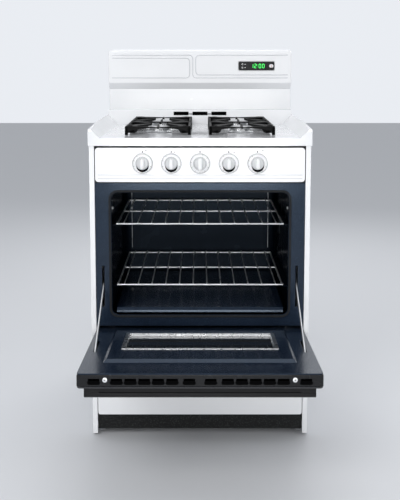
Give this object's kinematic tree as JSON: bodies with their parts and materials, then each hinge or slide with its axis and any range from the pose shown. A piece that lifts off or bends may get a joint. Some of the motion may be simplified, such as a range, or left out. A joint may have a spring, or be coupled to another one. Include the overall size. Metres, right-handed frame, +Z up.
{
  "type": "freestanding gas range",
  "caption": "Freestanding gas range with an open drop-down oven door, wire oven racks, a broiler drawer, cast grates over sealed burners, a knob panel and a backguard with a clock.",
  "frame": {"origin": "on the floor, under the middle of the box around the range with its oven door open", "axes": "+Z up, -Y out of the front of the range, +X to the right of a person facing it"},
  "size_m": [0.61, 1.0018, 1.09],
  "materials": {
    "white_paint": "gloss",
    "white_porcelain": "gloss enamel",
    "galvanised_sheet": "galvanised",
    "charcoal_paint": "textured",
    "dark_enamel": "speckled gloss enamel",
    "black_paint": "gloss",
    "black_plastic": "gloss",
    "white_plastic": "satin",
    "rack_chrome": "plated",
    "stay_steel": "plated",
    "burner_steel": "heat dulled",
    "foot_steel": "zinc plated",
    "burner_aluminium": "cast",
    "aluminium_trim": "bright",
    "grate_iron": "enamelled",
    "pipe_metal": "plain",
    "black_glass": "gloss black backed",
    "window_glass": "tinted",
    "lamp_glass": "clear",
    "gasket": "woven fibre",
    "rubber_gland": "matt"
  },
  "bodies": {
    "cabinet": {"side_panel_left": "white_paint", "side_panel_right": "white_paint", "back_panel": "galvanised_sheet", "drawer_rail_left": "galvanised_sheet", "drawer_rail_right": "galvanised_sheet", "kick_plate": "charcoal_paint", "oven_front_frame": "dark_enamel", "oven_liner": "dark_enamel", "oven_floor": "dark_enamel", "oven_burner": "burner_steel", "oven_gasket": "gasket", "oven_lamp": "lamp_glass", "thermostat_bulb": "rack_chrome", "cooktop": "white_porcelain", "backguard_body": "white_paint", "backguard_fascia": "white_paint", "clock_module": "black_plastic", "control_panel": "white_paint", "gas_manifold": "pipe_metal", "gas_inlet": "pipe_metal", "power_inlet": "rubber_gland", "levelling_foot_front_left": "foot_steel", "burner_head_front_left": "burner_aluminium", "levelling_foot_front_right": "foot_steel", "burner_head_front_right": "burner_aluminium", "levelling_foot_rear_left": "foot_steel", "burner_head_rear_left": "burner_aluminium", "levelling_foot_rear_right": "foot_steel", "burner_head_rear_right": "burner_aluminium"},
    "door": {"door_frame": "black_paint", "door_glass": "black_glass", "door_liner": "dark_enamel", "door_window_frame": "aluminium_trim", "door_window_glass": "window_glass", "door_handle": "black_plastic"},
    "stay_left": {"door_stay_left": "stay_steel"},
    "stay_right": {"door_stay_right": "stay_steel"},
    "upper_rack": {"upper_rack": "rack_chrome"},
    "lower_rack": {"lower_rack": "rack_chrome"},
    "drawer": {"drawer_front": "white_paint", "drawer_bin": "galvanised_sheet"},
    "clock_button": {"clock_button": "white_plastic"},
    "grate_front_left": {"grate_front_left": "grate_iron"},
    "cap_front_left": {"burner_cap_front_left": "burner_aluminium"},
    "grate_front_right": {"grate_front_right": "grate_iron"},
    "cap_front_right": {"burner_cap_front_right": "burner_aluminium"},
    "grate_rear_left": {"grate_rear_left": "grate_iron"},
    "cap_rear_left": {"burner_cap_rear_left": "burner_aluminium"},
    "grate_rear_right": {"grate_rear_right": "grate_iron"},
    "cap_rear_right": {"burner_cap_rear_right": "burner_aluminium"},
    "stem_rear_left": {"knob_stem_rear_left": "stay_steel"},
    "knob_rear_left": {"knob_rear_left": "white_plastic"},
    "stem_front_left": {"knob_stem_front_left": "stay_steel"},
    "knob_front_left": {"knob_front_left": "white_plastic"},
    "stem_oven": {"knob_stem_oven": "stay_steel"},
    "knob_oven": {"knob_oven": "white_plastic"},
    "stem_front_right": {"knob_stem_front_right": "stay_steel"},
    "knob_front_right": {"knob_front_right": "white_plastic"},
    "stem_rear_right": {"knob_stem_rear_right": "stay_steel"},
    "knob_rear_right": {"knob_rear_right": "white_plastic"}
  },
  "joints": [
    {"name": "door_hinge", "type": "hinge", "parent": "cabinet", "child": "door", "pos_m": [0, -0.10112, 0.318], "axis": [1, 0, 0], "range_deg": [-87, 0]},
    {"name": "stay_left_pin", "type": "hinge", "parent": "door", "child": "stay_left", "pos_m": [-0.268, -0.31577, 0.31122], "axis": [1, 0, 0], "range_deg": [-21.4, 0.1]},
    {"name": "stay_right_pin", "type": "hinge", "parent": "door", "child": "stay_right", "pos_m": [0.268, -0.31577, 0.31122], "axis": [1, 0, 0], "range_deg": [-21.4, 0.1]},
    {"name": "upper_rack_slide", "type": "slide", "parent": "cabinet", "child": "upper_rack", "axis": [0, -1, 0], "range_m": [0, 0.3]},
    {"name": "lower_rack_slide", "type": "slide", "parent": "cabinet", "child": "lower_rack", "axis": [0, -1, 0], "range_m": [0, 0.3]},
    {"name": "drawer_slide", "type": "slide", "parent": "cabinet", "child": "drawer", "axis": [0, -1, 0], "range_m": [0, 0.36]},
    {"name": "grate_front_left_lift", "type": "slide", "parent": "cabinet", "child": "grate_front_left", "axis": [0, 0, 1], "range_m": [0, 0.06]},
    {"name": "grate_front_right_lift", "type": "slide", "parent": "cabinet", "child": "grate_front_right", "axis": [0, 0, 1], "range_m": [0, 0.06]},
    {"name": "grate_rear_left_lift", "type": "slide", "parent": "cabinet", "child": "grate_rear_left", "axis": [0, 0, 1], "range_m": [0, 0.06]},
    {"name": "grate_rear_right_lift", "type": "slide", "parent": "cabinet", "child": "grate_rear_right", "axis": [0, 0, 1], "range_m": [0, 0.06]},
    {"name": "cap_front_left_lift", "type": "slide", "parent": "cabinet", "child": "cap_front_left", "axis": [0, 0, 1], "range_m": [0, 0.03]},
    {"name": "cap_front_right_lift", "type": "slide", "parent": "cabinet", "child": "cap_front_right", "axis": [0, 0, 1], "range_m": [0, 0.03]},
    {"name": "cap_rear_left_lift", "type": "slide", "parent": "cabinet", "child": "cap_rear_left", "axis": [0, 0, 1], "range_m": [0, 0.03]},
    {"name": "cap_rear_right_lift", "type": "slide", "parent": "cabinet", "child": "cap_rear_right", "axis": [0, 0, 1], "range_m": [0, 0.03]},
    {"name": "stem_rear_left_push", "type": "slide", "parent": "cabinet", "child": "stem_rear_left", "axis": [0, 1, 0], "range_m": [0, 0.004], "stiffness_N_per_m": 600},
    {"name": "knob_rear_left_turn", "type": "hinge", "parent": "stem_rear_left", "child": "knob_rear_left", "pos_m": [-0.1564, -0.11512, 0.777], "axis": [0, -1, 0], "range_deg": [0, 250]},
    {"name": "stem_front_left_push", "type": "slide", "parent": "cabinet", "child": "stem_front_left", "axis": [0, 1, 0], "range_m": [0, 0.004], "stiffness_N_per_m": 600},
    {"name": "knob_front_left_turn", "type": "hinge", "parent": "stem_front_left", "child": "knob_front_left", "pos_m": [-0.0782, -0.11512, 0.777], "axis": [0, -1, 0], "range_deg": [0, 250]},
    {"name": "stem_oven_push", "type": "slide", "parent": "cabinet", "child": "stem_oven", "axis": [0, 1, 0], "range_m": [0, 0.004], "stiffness_N_per_m": 600},
    {"name": "knob_oven_turn", "type": "hinge", "parent": "stem_oven", "child": "knob_oven", "pos_m": [0, -0.11512, 0.777], "axis": [0, -1, 0], "range_deg": [-310, 0]},
    {"name": "stem_front_right_push", "type": "slide", "parent": "cabinet", "child": "stem_front_right", "axis": [0, 1, 0], "range_m": [0, 0.004], "stiffness_N_per_m": 600},
    {"name": "knob_front_right_turn", "type": "hinge", "parent": "stem_front_right", "child": "knob_front_right", "pos_m": [0.0782, -0.11512, 0.777], "axis": [0, -1, 0], "range_deg": [0, 250]},
    {"name": "stem_rear_right_push", "type": "slide", "parent": "cabinet", "child": "stem_rear_right", "axis": [0, 1, 0], "range_m": [0, 0.004], "stiffness_N_per_m": 600},
    {"name": "knob_rear_right_turn", "type": "hinge", "parent": "stem_rear_right", "child": "knob_rear_right", "pos_m": [0.1564, -0.11512, 0.777], "axis": [0, -1, 0], "range_deg": [0, 250]},
    {"name": "clock_button_press", "type": "slide", "parent": "cabinet", "child": "clock_button", "axis": [0, 1, 0], "range_m": [0, 0.002], "stiffness_N_per_m": 300}
  ],
  "couplings": [
    {"joint": "stay_left_pin", "follows": "door_hinge", "ratio": 0.245},
    {"joint": "stay_right_pin", "follows": "door_hinge", "ratio": 0.245}
  ]
}
